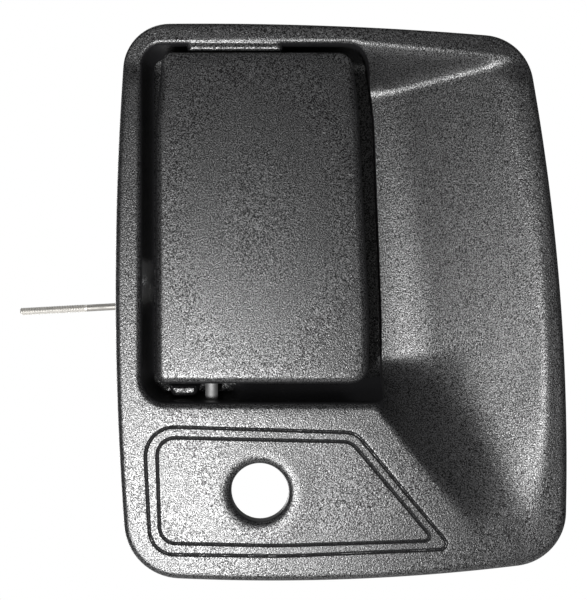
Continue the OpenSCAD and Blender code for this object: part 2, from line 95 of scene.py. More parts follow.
# Rounded outlines: (x, z, radius) at each corner, counter-clockwise
POCKET = [(-43.7, 33.4, 9), (46.4, 33.4, 2), (46.4, 64, 200), (43.4, 140, 80),
          (40.0, 166.2, 8), (-43.7, 166.2, 7.5)]
POCKET_WIDE = [(-43.7, 33.4, 9), (60, 33.4, 2), (60, 166.2, 8), (-43.7, 166.2, 7.5)]
TONGUE = [(-26.5, 163.6, 1), (8.2, 163.6, 1), (9.4, 171, 1), (-28.5, 171, 1)]
PAD = [(-32.8, 34.9, 2.4), (-24.0, 35.6, 2), (-23.6, 39.4, 0.8), (-34.2, 39.4, 0.8)]
PADDLE = [(-38.7, 40.3, 4), (40.7, 40.3, 7), (40.7, 64, 200), (36.9, 140, 80),
          (34.4, 163.2, 6), (-36.2, 163.2, 4), (-38.7, 135, 60)]
OUTER_LINE = [(-40.5, -23.0, 9.3), (7.5, -23.7, 300), (71.6, -21.0, 2.2), (35.6, 22.2, 8),
              (-42.6, 24.6, 10.8), (-42.3, 11, 30)]
INNER_LINE = [(-37.0, -18.9, 6.3), (7.5, -19.8, 300), (64.8, -17.9, 1.7), (34.0, 18.8, 7),
              (-38.2, 20.4, 6.6), (-38.0, 11, 30)]
SCOOP_OPENING = [(36, 30.7, 1), (43.9, 30.7, 1), (82, -19, 6), (105.5, -13, 12), (108.2, 20, 100),
                 (106.5, 64, 300), (94, 160.5, 4), (72, 165.2, 40), (36, 166.2, 1)]
SLOT = [(-38.6, 71, 0.6), (-21.4, 71, 0.6), (-21.4, 86, 0.6), (-38.6, 86, 0.6)]


# ------------------------------------------------------------------ outlines


def arc(centre, radius, start, end, steps):
    """Points along an arc, angles in radians."""
    t = np.linspace(start, end, steps + 1)
    return np.array(centre) + radius * np.stack([np.cos(t), np.sin(t)], axis=1)


def angle_of(v):
    """Direction of a flat vector, in radians."""
    return math.atan2(v[1], v[0])


def turn_to(a, b):
    """The first angle at or after a that points the way b does."""
    return a + (b - a) % (2 * math.pi)


def side_centre(a, b, radius):
    """Centre of the large circle that touches two corner circles from outside the outline."""
    pa, pb = np.array(a[:2]), np.array(b[:2])
    ra, rb, span = radius - a[2], radius - b[2], np.linalg.norm(pb - pa)
    u = (pb - pa) / span
    along = (ra**2 - rb**2 + span**2) / (2 * span)
    across = math.sqrt(ra**2 - along**2)
    return pa + u * along + np.array([-u[1], u[0]]) * across


def bowed_outline(corners, sides, inset=0.0):
    """Corner arcs joined by bowed sides, moved inwards by inset."""
    n = len(corners)
    centres = [side_centre(corners[i], corners[(i + 1) % n], sides[i]) for i in range(n)]
    points = []
    for i, corner in enumerate(corners):
        c = np.array(corner[:2])
        before = angle_of(c - centres[i - 1])
        after = turn_to(before, angle_of(c - centres[i]))
        far = angle_of(np.array(corners[(i + 1) % n][:2]) - centres[i])
        points.extend(arc(c, corner[2] - inset, before, after, 16))
        points.extend(arc(centres[i], sides[i] - inset, after, turn_to(after, far), 60)[1:-1])
    return np.array(points)


def rounded_outline(corners, inset=0.0, spacing=2.5):
    """Straight sides with rounded corners, moved inwards by inset, with points along the sides."""
    n = len(corners)
    points = []
    for i, (x, z, corner_radius) in enumerate(corners):
        p = np.array([x, z])
        u = np.array(corners[i - 1][:2]) - p
        v = np.array(corners[(i + 1) % n][:2]) - p
        u, v = u / np.linalg.norm(u), v / np.linalg.norm(v)
        half = math.acos(u @ v) / 2
        inward = (u + v) / np.linalg.norm(u + v)
        radius = max(corner_radius - inset, 0.2)
        vertex = p + inward * inset / math.sin(half)
        centre = vertex + inward * radius / math.sin(half)
        a = angle_of(vertex + u * radius / math.tan(half) - centre)
        b = turn_to(a, angle_of(vertex + v * radius / math.tan(half) - centre))
        points.extend(arc(centre, radius, a, b, 3 if b - a < 0.2 else 10))
    return spaced(np.array(points), spacing)


def spaced(points, spacing):
    """Adds points along the long sides of a closed outline."""
    result = []
    for a, b in zip(points, np.roll(points, -1, axis=0)):
        count = max(1, round(np.linalg.norm(b - a) / spacing))
        result.extend(a + (b - a) * k / count for k in range(count))
    return np.array(result)


def circle(radius, count=96):
    """Points round a circle about the lock bore's axis."""
    t = np.linspace(0, 2 * math.pi, count, endpoint=False)
    return radius * np.stack([np.cos(t), np.sin(t)], axis=1)


def distance_inside(points, outline):
    """Distance from each point to a closed outline, positive inside it."""
    a, b = outline, np.roll(outline, -1, axis=0)
    result = np.empty(len(points))
    for start in range(0, len(points), 4000):
        p = points[start:start + 4000, None, :]
        ab = (b - a)[None]
        t = np.clip(((p - a) * ab).sum(-1) / (ab * ab).sum(-1), 0, 1)
        gap = np.linalg.norm(p - (a + ab * t[..., None]), axis=-1).min(axis=1)
        above = (a[None, :, 1] > p[..., 1]) != (b[None, :, 1] > p[..., 1])
        with np.errstate(divide="ignore", invalid="ignore"):
            cross = (b[:, 0] - a[:, 0]) * (p[..., 1] - a[:, 1]) / (b[:, 1] - a[:, 1]) + a[:, 0]
        inside = (above & (p[..., 0] < cross)).sum(axis=1) % 2 == 1
        result[start:start + 4000] = np.where(inside, gap, -gap)
    return result


def smooth_min(a, b, width):
    """The lower of two depths, blended where they differ by less than width."""
    h = np.clip(0.5 + 0.5 * (b - a) / width, 0, 1)
    return b * (1 - h) + a * h - width * h * (1 - h)


def smooth_max(a, b, width):
    """The higher of two depths, blended in the same way."""
    return -smooth_min(-a, -b, width)


def ease(t):
    """A smooth step from 0 to 1."""
    t = np.clip(t, 0, 1)
    return t * t * (3 - 2 * t)


def between(value, start, end):
    """0 up to start and 1 from end on, with a smooth step from one to the other."""
    return ease((value - start) / (end - start))


def line_distance(points, a, b):
    """Distance to the left of the line from a to b."""
    a, b = np.array(a, float), np.array(b, float)
    u = (b - a) / np.linalg.norm(b - a)
    return (points - a) @ np.array([-u[1], u[0]])


# ------------------------------------------------------------------ the bezel's surfaces

BEZEL_OUTLINE = bowed_outline(BEZEL_CORNERS, BEZEL_SIDES)
POCKET_OUTLINE = rounded_outline(POCKET)
TONGUE_OUTLINE = rounded_outline(TONGUE, 0, 1.5)
PAD_OUTLINE = rounded_outline(PAD, 0, 1.0)
RIGHT_CENTRE = side_centre(BEZEL_CORNERS[0], BEZEL_CORNERS[1], BEZEL_SIDES[0])
GROOVE_LINES = [rounded_outline(line, 0, 1.5) for line in (OUTER_LINE, INNER_LINE)]

# The crowned face: its centre, its half size, and how far it drops at the middle of each edge
CROWN_CENTRE = (30, 70)
CROWN_HALF_SIZE = (84, 104)
SIDE_DROP, TOP_DROP, BOTTOM_DROP = 0.55, 0.3, 0.75
TOP_LEAN, LEAN_FROM_Z, LEAN_Z = 0.06, 172, (152, 160)
BAND_SLOPE, BAND_X, BAND_Z = -0.05, 98, (-30, -10)
LOCK_DOME, DOME_RADII = 0.36, (9, 26)
SHOULDER, SHOULDER_WIDTH = 0.09, 1.6
RIM_ROLL, TOP_ROLL, TOP_ROLL_Z = 2.0, 0.7, (150, 162)

# The lock hole's rolled mouth, and the shallow dish around it
LOCK_MOUTH = 2.1
LOCK_DISH, DISH_START, DISH_WIDTH = 0.28, 1.2, 2.6

# The finger scoop: slopes, the widths of the blends between its walls, and where its end wall ends
CREASE_INSET = 6.3
RAMP_SLOPE = 0.36
TOP_WALL_SLOPE = 1.17
TOP_WALL_LINE = [(94.3, 161.4), (36, 166.4)]
LEFT_SLOPE, LEFT_X = 2, 30
END_WALL_Z, END_WALL_X = (47.0, 30.0), (74, 98)
END_WALL_POWER, END_WALL_EXTRA = 1.2, 1.5
DIAGONAL_FROM_X, DIAGONAL_BLEND = 42, 8
SCOOP_BLEND, END_BLEND, TOP_BLEND, LEFT_BLEND = 4.0, 4.0, 3.0, 2.0
SCOOP_LIP, SCOOP_LIP_GROWTH, SCOOP_LIP_Z = 0.8, 1.6, (60, 120)

# The paddle's pocket: its lip, and how far its walls reach before they meet the floor. The reach is
# POCKET_ROUND at the hinge, longer to the right of it, and longest in the lower right corner
LIP_RADIUS = 3.2
LIP_BLEND = 0.6
POCKET_ROUND = 5.0
RIGHT_REACH, RIGHT_REACH_X = 4, (-12, -4)
LOW_REACH, LOW_REACH_Z = 5, (48, 40)
CORNER_REACH, CORNER_X, CORNER_Z = 9, (30, 38), (60, 48)
STEEP_WALL, STEEP_BLEND = 26, 2

# The back: the nearly upright walls of the tub, and the scoop's wall thickness
BACK_WALL_SLOPE = 400
SCOOP_WALL = WALL * 1.05

# The ledge on the pocket's upper wall and the pad in its lower left corner
TONGUE_DEPTH, TONGUE_EDGE, TONGUE_WALL, TONGUE_FROM_Z = 1.1, 2.0, 40, 150
PAD_DEPTH, PAD_EDGE, PAD_WALL, PAD_BLEND = 12.2, 2.6, 12, 0.3


def rolled_edge(distance, radius):
    """Depth of a rounded edge at a distance inside the outline."""
    t = np.clip(radius - distance, 0, radius)
    return radius - np.sqrt(np.maximum(radius**2 - t**2, 0))


def roll_radius(points):
    """The outer edge's radius, which is tighter along the top."""
    return RIM_ROLL + (TOP_ROLL - RIM_ROLL) * between(points[:, 1], *TOP_ROLL_Z)


def right_edge_distance(points):
    """Distance to the left of the bezel's bowed right side."""
    return BEZEL_SIDES[0] - np.linalg.norm(points - RIGHT_CENTRE, axis=1)


def scoop_end_edge(x):
    """Height of the scoop's lower edge: the diagonal beside the lock panel, then its foot."""
    (x0, z0), (x1, z1) = SCOOP_OPENING[1][:2], SCOOP_OPENING[2][:2]
    diagonal = z0 - (np.maximum(x, DIAGONAL_FROM_X) - x0) * (z0 - z1) / (x1 - x0)
    return smooth_max(diagonal, np.full(len(x), float(z1)), DIAGONAL_BLEND)


def scoop_depth(points, grow=0.0):
    """Depth of the finger scoop, negative outside its opening. grow moves its walls outwards."""
    x, z = points[:, 0], points[:, 1]
    top = line_distance(points, *TOP_WALL_LINE) * TOP_WALL_SLOPE
    ramp = (right_edge_distance(points) - CREASE_INSET) * RAMP_SLOPE
    section = smooth_min(ramp, np.full(len(points), SCOOP_DEPTH), SCOOP_BLEND)
    edge = scoop_end_edge(x)
    end = END_WALL_Z[0] + (END_WALL_Z[1] - END_WALL_Z[0]) * between(x, *END_WALL_X)
    rise = (z - edge) / (end - edge)
    end_wall = np.sign(rise) * np.abs(rise) ** END_WALL_POWER * (section + END_WALL_EXTRA)
    depth = smooth_min(section, end_wall, END_BLEND)
    depth = smooth_min(depth, top, TOP_BLEND)
    return smooth_min(depth, (x - LEFT_X) * LEFT_SLOPE, LEFT_BLEND) + grow


def pocket_depth(points, outline_distance, floor):
    """Depth of the paddle's pocket.

    A rounded lip leads to walls that curve into the floor, except at the right, where the wall
    under the scoop is nearly upright. The ledge and the pad stand out from the walls.
    """
    lip = rolled_edge(-outline_distance, LIP_RADIUS)
    inside = np.maximum(distance_inside(points, rounded_outline(POCKET_WIDE)), 0)
    x, z = points[:, 0], points[:, 1]
    corner = between(x, *CORNER_X) * between(z, *CORNER_Z)
    foot = RIGHT_REACH + LOW_REACH * between(z, *LOW_REACH_Z) + CORNER_REACH * corner
    reach = POCKET_ROUND + foot * between(x, *RIGHT_REACH_X)
    curved = LIP_RADIUS + (floor - LIP_RADIUS) * (1 - np.clip(1 - inside / reach, 0, 1) ** 3)
    steep = LIP_RADIUS + np.maximum(outline_distance, 0) * STEEP_WALL
    wall = smooth_min(curved, steep, STEEP_BLEND)
    pad = distance_inside(points, PAD_OUTLINE)
    pad_surface = PAD_DEPTH + rolled_edge(pad, PAD_EDGE) - np.minimum(pad, 0) * PAD_WALL
    depth = np.where(outline_distance < 0, lip, smooth_min(wall, pad_surface, PAD_BLEND))
    tongue = distance_inside(points, TONGUE_OUTLINE)
    ledge = TONGUE_DEPTH + rolled_edge(tongue, TONGUE_EDGE) - np.minimum(tongue, 0) * TONGUE_WALL
    return np.where(z > TONGUE_FROM_Z, np.minimum(depth, ledge), depth)


def crown(points):
    """Depth of the face itself: a slight crown with a low dome around the lock hole.

    The top rim leans in towards the pocket, and the band right of the scoop leans outwards.
    """
    x, z = points[:, 0], points[:, 1]
    across = (x - CROWN_CENTRE[0]) / CROWN_HALF_SIZE[0]
    up = (z - CROWN_CENTRE[1]) / CROWN_HALF_SIZE[1]
    face = (SIDE_DROP * across**2 + TOP_DROP * np.maximum(up, 0) ** 2
            + BOTTOM_DROP * np.minimum(up, 0) ** 2)
    lean = TOP_LEAN * np.maximum(LEAN_FROM_Z - z, 0) * between(z, *LEAN_Z)
    right_band = BAND_SLOPE * np.maximum(x - BAND_X, 0) * between(z, *BAND_Z)
    dome = LOCK_DOME * (1 - between(np.linalg.norm(points, axis=1), *DOME_RADII))
    return face + lean + right_band - dome


def bezel_front(points):
    """Depth of the bezel's front surface below its highest plane."""
    face = crown(points) + rolled_edge(distance_inside(points, BEZEL_OUTLINE), roll_radius(points))
    scoop = scoop_depth(points)
    lip = SCOOP_LIP + SCOOP_LIP_GROWTH * between(points[:, 1], *SCOOP_LIP_Z)
    opened = smooth_max(face, scoop, lip)
    pocket = pocket_depth(points, distance_inside(points, POCKET_OUTLINE), POCKET_DEPTH)
    depth = np.maximum(smooth_max(opened, pocket, LIP_BLEND), face)
    for line in GROOVE_LINES:
        off = np.abs(distance_inside(points, line))
        depth = depth + GROOVE_DEPTH * (1 - ease(off / (GROOVE_WIDTH / 2)))
    outside = np.maximum(-distance_inside(points, GROOVE_LINES[0]), 0)
    depth = depth + SHOULDER * (1 - ease(outside / SHOULDER_WIDTH)) * (outside > 0)
    mouth = np.linalg.norm(points, axis=1) - LOCK_RADIUS
    dish = LOCK_DISH * (1 - ease((mouth - DISH_START) / DISH_WIDTH))
    return depth + rolled_edge(np.maximum(mouth, 0), LOCK_MOUTH) + dish


def bezel_back(points):
    """Depth of the bezel's back surface below the same plane."""
    pocket = distance_inside(points, POCKET_OUTLINE) + WALL
    tub_wall = np.minimum(FACE_WALL + pocket * BACK_WALL_SLOPE, POCKET_DEPTH + WALL)
    tub = np.where(pocket > 0.01, tub_wall, 0)
    scoop = scoop_depth(points, SCOOP_WALL)
    return np.maximum(np.maximum(tub, scoop), FACE_WALL + crown(points))


# ------------------------------------------------------------------ meshes from surfaces


def grid_points(low, high, spacing):
    """A triangular grid over a rectangle."""
    points = []
    for k, z in enumerate(np.arange(low[1], high[1], spacing * math.sqrt(3) / 2)):
        x = np.arange(low[0] + (k % 2) * spacing / 2, high[0], spacing)
        points.append(np.stack([x, np.full(len(x), z)], axis=1))
    return np.concatenate(points)


def triangulated(rings, scattered, clearance):
    """Triangles over rings of points and the scattered points that stay clear of them."""
    ring_points = np.concatenate(rings)
    keep = np.ones(len(scattered), bool)
    for start in range(0, len(scattered), 2000):
        part = scattered[start:start + 2000, None]
        near = np.linalg.norm(part - ring_points[None], axis=-1).min(axis=1)
        keep[start:start + 2000] = near > clearance[start:start + 2000]
    points = np.concatenate([ring_points, scattered[keep]])
    edges, first = [], 0
    for ring in rings:
        n = len(ring)
        edges.extend((first + k, first + (k + 1) % n) for k in range(n))
        first += n
    made = delaunay_2d_cdt([tuple(p) for p in points], edges, [], 0, 1e-6)
    flat = np.array([tuple(v) for v in made[0]])
    source = [list(s) for s in made[3]]
    lookup = {k: i for i, given in enumerate(source) for k in given}
    return flat, np.array([tuple(f) for f in made[2]]), lookup


def upright(points, depth, front_y):
    """Points in space from a flat layout and its depths."""
    return np.column_stack([points[:, 0], front_y + depth, points[:, 1]])


def band(a, b):
    """Quads between two closed loops of vertex numbers."""
    n = len(a)
    return [(a[k], a[(k + 1) % n], b[(k + 1) % n], b[k]) for k in range(n)]


def make_object(name, points, faces, smooth_angle):
    """A mesh object in metres from points in millimetres, sharp where it turns by more than an angle
    in degrees."""
    mesh = bpy.data.meshes.new(name)
    vertices = [tuple(p * MM) for p in np.asarray(points, float)]
    mesh.from_pydata(vertices, [], [tuple(f) for f in faces])
    body = bmesh.new()
    body.from_mesh(mesh)
    bmesh.ops.recalc_face_normals(body, faces=body.faces)
    limit = math.radians(smooth_angle)
    for face in body.faces:
        face.smooth = True
    for edge in body.edges:
        if len(edge.link_faces) == 2 and edge.calc_face_angle(0) > limit:
            edge.smooth = False
    body.to_mesh(mesh)
    body.free()
    obj = bpy.data.objects.new(name, mesh)
    bpy.context.scene.collection.objects.link(obj)
    return obj


def ring_numbers(lookup, rings, index):
    """Vertex numbers of one ring after triangulation."""
    first = sum(len(r) for r in rings[:index])
    return [lookup[first + k] for k in range(len(rings[index]))]


def without_triangles(flat, triangles, outside, *holes):
    """Leaves out the triangles beyond an outline or inside a hole."""
    centre = flat[triangles].mean(axis=1)
    keep = distance_inside(centre, outside) > 0
    for hole in holes:
        keep &= distance_inside(centre, hole) < 0
    return triangles[keep]


# ------------------------------------------------------------------ simple solids

# Radius of the pinhole left along the axis of a turned solid
CORE = 0.02


def transported(route):
    """Unit side and top vectors along a route, without twist."""
    ahead = np.gradient(route, axis=0)
    ahead /= np.linalg.norm(ahead, axis=1)[:, None]
    start = np.array([1.0, 0, 0]) if abs(ahead[0][0]) < 0.7 else np.array([0, 0, 1.0])
    side = np.cross(ahead[0], start)
    sides = [side / np.linalg.norm(side)]
    for a in ahead[1:]:
        side = sides[-1] - a * (sides[-1] @ a)
        sides.append(side / np.linalg.norm(side))
    sides = np.array(sides)
    return sides, np.cross(ahead, sides)


def swept(route, radius, sides):
    """Points and faces of a rod along a route. radius is one number, or one per point and side."""
    route = np.array(route, float)
    n = len(route)
    radii = np.broadcast_to(np.asarray(radius, float), (n, sides))
    side, top = transported(route)
    t = np.linspace(0, 2 * math.pi, sides, endpoint=False)
    ring = np.cos(t)[None, :, None] * side[:, None] + np.sin(t)[None, :, None] * top[:, None]
    points = (route[:, None] + ring * radii[..., None]).reshape(-1, 3)
    loops = np.arange(n * sides).reshape(n, sides)
    faces = [f for k in range(n - 1) for f in band(loops[k], loops[k + 1])]
    return points, faces + [tuple(loops[0][::-1]), tuple(loops[-1])]


def revolved(profile, axis, place, sides):
    """Points and faces of a closed turned profile of (radius, height) pairs, about Y or Z."""
    t = np.linspace(0, 2 * math.pi, sides, endpoint=False)
    r, h = np.array(profile, float).T
    u, v = np.outer(r, np.cos(t)), np.outer(r, np.sin(t))
    height = np.repeat(h[:, None], sides, axis=1)
    layers = (u, height, v) if axis == "Y" else (u, v, height)
    points = np.stack(layers, axis=-1).reshape(-1, 3) + np.array(place, float)
    loops = np.arange(len(r) * sides).reshape(len(r), sides)
    faces = [f for k in range(len(r)) for f in band(loops[k], loops[(k + 1) % len(r)])]
    return points, faces


def turned(radius, low, high, axis, place, chamfer):
    """A solid disc or post with chamfered ends."""
    c = min(chamfer, (high - low) / 3)
    profile = [(CORE, low), (radius - c, low), (radius, low + c), (radius, high - c),
               (radius - c, high), (CORE, high)]
    return revolved(profile, axis, place, 48)


def extruded(outline, low, high, axis, chamfer):
    """A prism over an outline in X and Y (axis Z) or X and Z (axis Y), with chamfered edges."""
    outline = np.array(outline, float)
    ahead = np.roll(outline, -1, axis=0) - outline
    ahead /= np.linalg.norm(ahead, axis=1)[:, None]
    behind = np.roll(ahead, 1, axis=0)
    inward = np.stack([-(ahead + behind)[:, 1], (ahead + behind)[:, 0]], axis=1)
    inward /= np.linalg.norm(inward, axis=1)[:, None]
    small = outline + inward * chamfer
    stack = [(small, low), (outline, low + chamfer), (outline, high - chamfer), (small, high)]
    n = len(outline)
    layers = [np.column_stack([p[:, 0], np.full(n, h), p[:, 1]] if axis == "Y"
                              else [p[:, 0], p[:, 1], np.full(n, h)]) for p, h in stack]
    loops = np.arange(4 * n).reshape(4, n)
    faces = [f for k in range(3) for f in band(loops[k], loops[k + 1])]
    return np.concatenate(layers), faces + [tuple(loops[0][::-1]), tuple(loops[3])]


def joined(*parts):
    """Several (points, faces) pairs as one."""
    points, faces, first = [], [], 0
    for p, f in parts:
        points.append(np.asarray(p, float))
        faces.extend(tuple(int(k) + first for k in face) for face in f)
        first += len(p)
    return np.concatenate(points), faces


# ------------------------------------------------------------------ bezel

LUGS = [(119, 124), (134.4, 139.4)]
LOWER_LUG, LOWER_LUG_RADIUS = (30.9, 34), KNUCKLE_RADIUS - 1.2
RIGHT_STUDS = [(97, 118), (97, -10)]
LEFT_STUD = (-38, -11)
STOPS = [(10, 154), (10, 51)]
BRACKET_SCREWS = [(-2, 65), (-2, 92), (13, 78.5)]
STUD_BOSS_RADIUS, STUD_BOSS_BACK = 6.0, -0.5
STUD_BOSS_FRONTS = (-4.4, -7.5, FACE_Y + 2)
STOP_POST_RADIUS, STOP_POST_FRONT = 4.5, -2.6
SCREW_BOSS_RADIUS, SCREW_BOSS_BACK = 4.2, 20
RIB_X, RIB_Z, RIB_BACK = (-30, 30), (-31, -15), -2.6


# Distances inside each outline of the front at which rings of points follow its rolled edges
RIM_RINGS = (0.12, 0.4, 0.8, 1.3, 1.9, 2.7, 3.7, 4.9, 6.2, 7.2)
POCKET_RINGS = (-2.8, -2.2, -1.6, -1.05, -0.6, -0.25, 0, 0.35, 0.7, 1.0, 1.5, 2.3, 3.3)
SCOOP_RINGS = (-1.8, -1.0, -0.4, 0.2, 0.8, 1.6, 2.6)
GROOVE_RINGS = (-0.76, -0.55, -0.35, -0.17, 0, 0.17, 0.35, 0.55, 0.76)
SHOULDER_RINGS = (-1.1, -1.6)
LOCK_RINGS = (0.12, 0.4, 0.8, 1.2, 1.6, 2.1, 2.7, 3.4, 5.0)
TONGUE_RINGS = (-0.45, -0.2, 0, 0.15, 0.4, 0.8, 1.3, 2.0)
PAD_RINGS = (-0.7, -0.3, 0, 0.6, 1.2)
SCOOP_GRID = ((40, -22), (109, 168), 1.25)
# Half the width over which an upright wall on the back goes from its foot to its top
STEP = 0.03


def bezel_skin():
    """The moulding's front and back surfaces, joined round the edge, the lock hole and the slot."""
    slot = rounded_outline(SLOT, 0, 2.0)
    hole = circle(LOCK_RADIUS)
    front = [BEZEL_OUTLINE, hole, slot]
    front += [bowed_outline(BEZEL_CORNERS, BEZEL_SIDES, d) for d in RIM_RINGS]
    front += [rounded_outline(POCKET, d, 1.6) for d in POCKET_RINGS]
    front += [rounded_outline(SCOOP_OPENING, d, 1.6) for d in SCOOP_RINGS]
    front += [rounded_outline(line, d, 1.2) for line in (OUTER_LINE, INNER_LINE)
              for d in GROOVE_RINGS]
    front += [rounded_outline(OUTER_LINE, d, 1.2) for d in SHOULDER_RINGS]
    front += [circle(LOCK_RADIUS + d) for d in LOCK_RINGS]
    front += [rounded_outline(TONGUE, d, 1.2) for d in TONGUE_RINGS]
    front += [rounded_outline(PAD, d, 1.0) for d in PAD_RINGS]
    low, high = BEZEL_OUTLINE.min(axis=0), BEZEL_OUTLINE.max(axis=0)
    coarse = grid_points(low, high, 2.2)
    fine = grid_points(*SCOOP_GRID)
    keep_coarse = distance_inside(coarse, rounded_outline(SCOOP_OPENING, -2.2)) < 0
    keep_fine = distance_inside(fine, rounded_outline(SCOOP_OPENING, 1.0)) > 0
    scattered = np.concatenate([coarse[keep_coarse], fine[keep_fine]])
    clear = np.concatenate([np.full(keep_coarse.sum(), 1.0), np.full(keep_fine.sum(), 0.6)])
    inside = distance_inside(scattered, BEZEL_OUTLINE) > 0.3
    flat, triangles, lookup = triangulated(front, scattered[inside], clear[inside])
    triangles = without_triangles(flat, triangles, BEZEL_OUTLINE, hole, slot)
    front_loops = [ring_numbers(lookup, front, k) for k in range(3)]
    front_points = upright(flat, bezel_front(flat), FACE_Y)

    back = [BEZEL_OUTLINE, hole, slot]
    back += [bowed_outline(BEZEL_CORNERS, BEZEL_SIDES, WALL + d) for d in (-STEP, STEP, 1.5)]
    back += [rounded_outline(POCKET, -WALL + d, 2.5) for d in (-STEP, STEP, 1.5)]
    back += [circle(LOCK_BOSS_RADIUS + d) for d in (-STEP, STEP)]
    coarse = grid_points(low, high, 3.2)
    coarse = coarse[distance_inside(coarse, BEZEL_OUTLINE) > WALL + 2]
    flat_back, back_triangles, lookup = triangulated(back, coarse, np.full(len(coarse), 1.2))
    back_triangles = without_triangles(flat_back, back_triangles, BEZEL_OUTLINE, hole, slot)
    depth = bezel_back(flat_back)
    flange = distance_inside(flat_back, BEZEL_OUTLINE) < WALL
    depth = np.where(flange, FLANGE_BACK_Y - FACE_Y, depth)
    depth = np.where(np.linalg.norm(flat_back, axis=1) < LOCK_BOSS_RADIUS, LOCK_DEPTH, depth)
    back_loops = [ring_numbers(lookup, back, k) for k in range(3)]
    back_points = upright(flat_back, depth, FACE_Y)

    n = len(front_points)
    faces = [tuple(f) for f in triangles] + [tuple(f + n) for f in back_triangles]
    for a, b in zip(front_loops, back_loops):
        faces += band(a, [k + n for k in b])
    return np.concatenate([front_points, back_points]), faces


def lug(low, high):
    """A moulded knuckle that holds the hinge pin, standing on the pocket's floor."""
    x, y = HINGE
    round_side = arc((x, y), KNUCKLE_RADIUS, math.pi, 2 * math.pi, 20)
    foot = FACE_Y + POCKET_DEPTH + 0.5
    outline = [*round_side, (x + KNUCKLE_RADIUS, foot), (x - KNUCKLE_RADIUS, foot)]
    return extruded(outline, low, high, "Z", 0.5)


def bezel():
    """The whole moulding: its skin, knuckles, bosses and posts, and two ribs by the lower rim."""
    floor_y = FACE_Y + POCKET_DEPTH
    parts = [bezel_skin(), *(lug(low, high) for low, high in LUGS),
             turned(LOWER_LUG_RADIUS, *LOWER_LUG, "Z", (*HINGE, 0), 0.1)]
    for (x, z), front in zip([*RIGHT_STUDS, LEFT_STUD], STUD_BOSS_FRONTS):
        parts.append(turned(STUD_BOSS_RADIUS, front, STUD_BOSS_BACK, "Y", (x, 0, z), 0.6))
    for x, z in STOPS:
        parts.append(turned(STOP_POST_RADIUS, STOP_POST_FRONT, floor_y + 0.5, "Y", (x, 0, z), 0.5))
    for x, z in BRACKET_SCREWS:
        parts.append(turned(SCREW_BOSS_RADIUS, floor_y + 1, SCREW_BOSS_BACK, "Y", (x, 0, z), 0.4))
    low, high = RIB_Z
    for x in RIB_X:
        rib = [(x - 1, low), (x + 1, low), (x + 1, high), (x - 1, high)]
        parts.append(extruded(rib, FACE_Y + 2, RIB_BACK, "Y", 0.2))
    points, faces = joined(*parts)
    return make_object("bezel_moulding", points, faces, 32)


# ------------------------------------------------------------------ paddle

PADDLE_EDGE = 2.7
PADDLE_TOP_EDGE, PADDLE_TOP_EDGE_Z = 0.7, (154, 162)
PADDLE_SHOULDER, PADDLE_SHOULDER_WIDTH = 0.13, 4.5
PADDLE_WALL = 2.4
PADDLE_CENTRE_Z = 103
PADDLE_HALF_SIZE = (40, 61)
PADDLE_CROWN = (0.25, 0.5, 0.4)
CARRIER_BOSS_RADIUS, CARRIER_BOSS_BACK = 3.4, -7.5
CARRIER_SCREWS = [(-28, 58), (-26, 148), (28, 60), (24, 140)]


def paddle_crown(points):
    """Depth of the paddle's crowned face: at its middle, and more at the sides and ends."""
    middle, sides, ends = PADDLE_CROWN
    across = points[:, 0] / PADDLE_HALF_SIZE[0]
    up = (points[:, 1] - PADDLE_CENTRE_Z) / PADDLE_HALF_SIZE[1]
    return middle + sides * across**2 + ends * up**2


def paddle_front(points, distance):
    """Depth of the paddle's front below its highest plane: rolled edges, tighter at the top."""
    tighter = between(points[:, 1], *PADDLE_TOP_EDGE_Z)
    edge = PADDLE_EDGE + (PADDLE_TOP_EDGE - PADDLE_EDGE) * tighter
    shoulder = PADDLE_SHOULDER * (1 - ease(distance / PADDLE_SHOULDER_WIDTH))
    return paddle_crown(points) + rolled_edge(distance, edge) + shoulder


